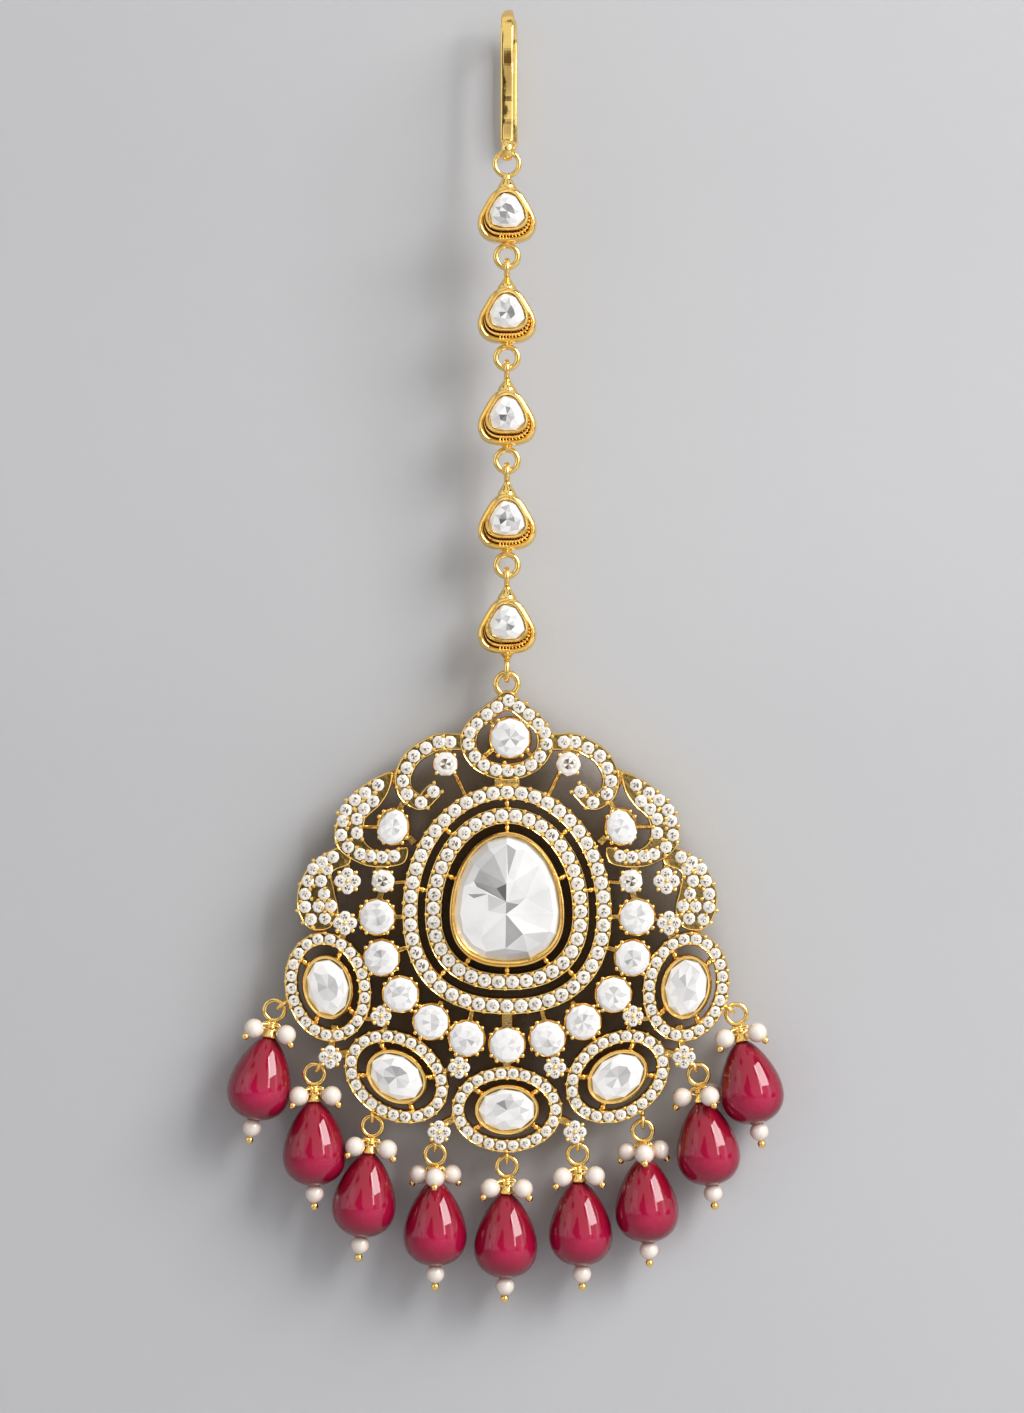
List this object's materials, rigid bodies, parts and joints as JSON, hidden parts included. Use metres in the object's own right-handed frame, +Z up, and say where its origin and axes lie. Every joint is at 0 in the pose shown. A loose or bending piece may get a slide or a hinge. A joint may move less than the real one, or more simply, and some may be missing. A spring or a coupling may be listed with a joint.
{
  "type": "maang tikka",
  "caption": "Forehead jewel: a hair hook, a short chain of stone-set links and an openwork pendant with pave halos, oval medallions and ruby-coloured drops.",
  "frame": {"origin": "inside top of the hair hook, where it hangs", "axes": "+Z up, the jewel's front faces -Y, +X to the viewer's right"},
  "size_m": [0.0555, 0.0096, 0.13],
  "materials": {
    "gold": "polished gold plate",
    "crystal": "foil-backed cut glass",
    "ruby": "polished ruby-red glass",
    "pearl": "pearl lustre"
  },
  "bodies": {
    "chain": {"hook": "gold", "link_1": "gold", "link_2": "gold", "link_3": "gold", "link_4": "gold", "link_5": "gold", "link_stone_1": "crystal", "link_stone_2": "crystal", "link_stone_3": "crystal", "link_stone_4": "crystal", "link_stone_5": "crystal"},
    "pendant": {"pendant_frame": "gold", "drop_hanger_1": "gold", "drop_hanger_2": "gold", "drop_hanger_3": "gold", "drop_hanger_4": "gold", "drop_hanger_5": "gold", "drop_hanger_6": "gold", "drop_hanger_7": "gold", "drop_hanger_8": "gold", "drop_hanger_9": "gold", "centre_stone": "crystal", "crest_stone": "crystal", "pear_stone_left": "crystal", "pear_stone_right": "crystal", "oval_stone_1": "crystal", "oval_stone_2": "crystal", "oval_stone_3": "crystal", "oval_stone_4": "crystal", "oval_stone_5": "crystal", "garland_stone_1": "crystal", "garland_stone_2": "crystal", "garland_stone_3": "crystal", "garland_stone_4": "crystal", "garland_stone_5": "crystal", "garland_stone_6": "crystal", "garland_stone_7": "crystal", "garland_stone_8": "crystal", "garland_stone_9": "crystal", "garland_stone_10": "crystal", "garland_stone_11": "crystal", "pearl_cluster_1": "pearl", "pearl_cluster_2": "pearl", "pearl_cluster_3": "pearl", "pearl_cluster_4": "pearl", "pearl_cluster_5": "pearl", "pearl_cluster_6": "pearl", "pearl_cluster_7": "pearl", "pearl_cluster_8": "pearl", "pearl_cluster_9": "pearl", "ruby_drop_1": "ruby", "ruby_drop_2": "ruby", "ruby_drop_3": "ruby", "ruby_drop_4": "ruby", "ruby_drop_5": "ruby", "ruby_drop_6": "ruby", "ruby_drop_7": "ruby", "ruby_drop_8": "ruby", "ruby_drop_9": "ruby"}
  },
  "joints": [
    {"name": "pendant_swing", "type": "hinge", "parent": "chain", "child": "pendant", "pos_m": [0, -0.00275, -0.0666], "axis": [0, 1, 0], "range_deg": [-75, 75]}
  ]
}
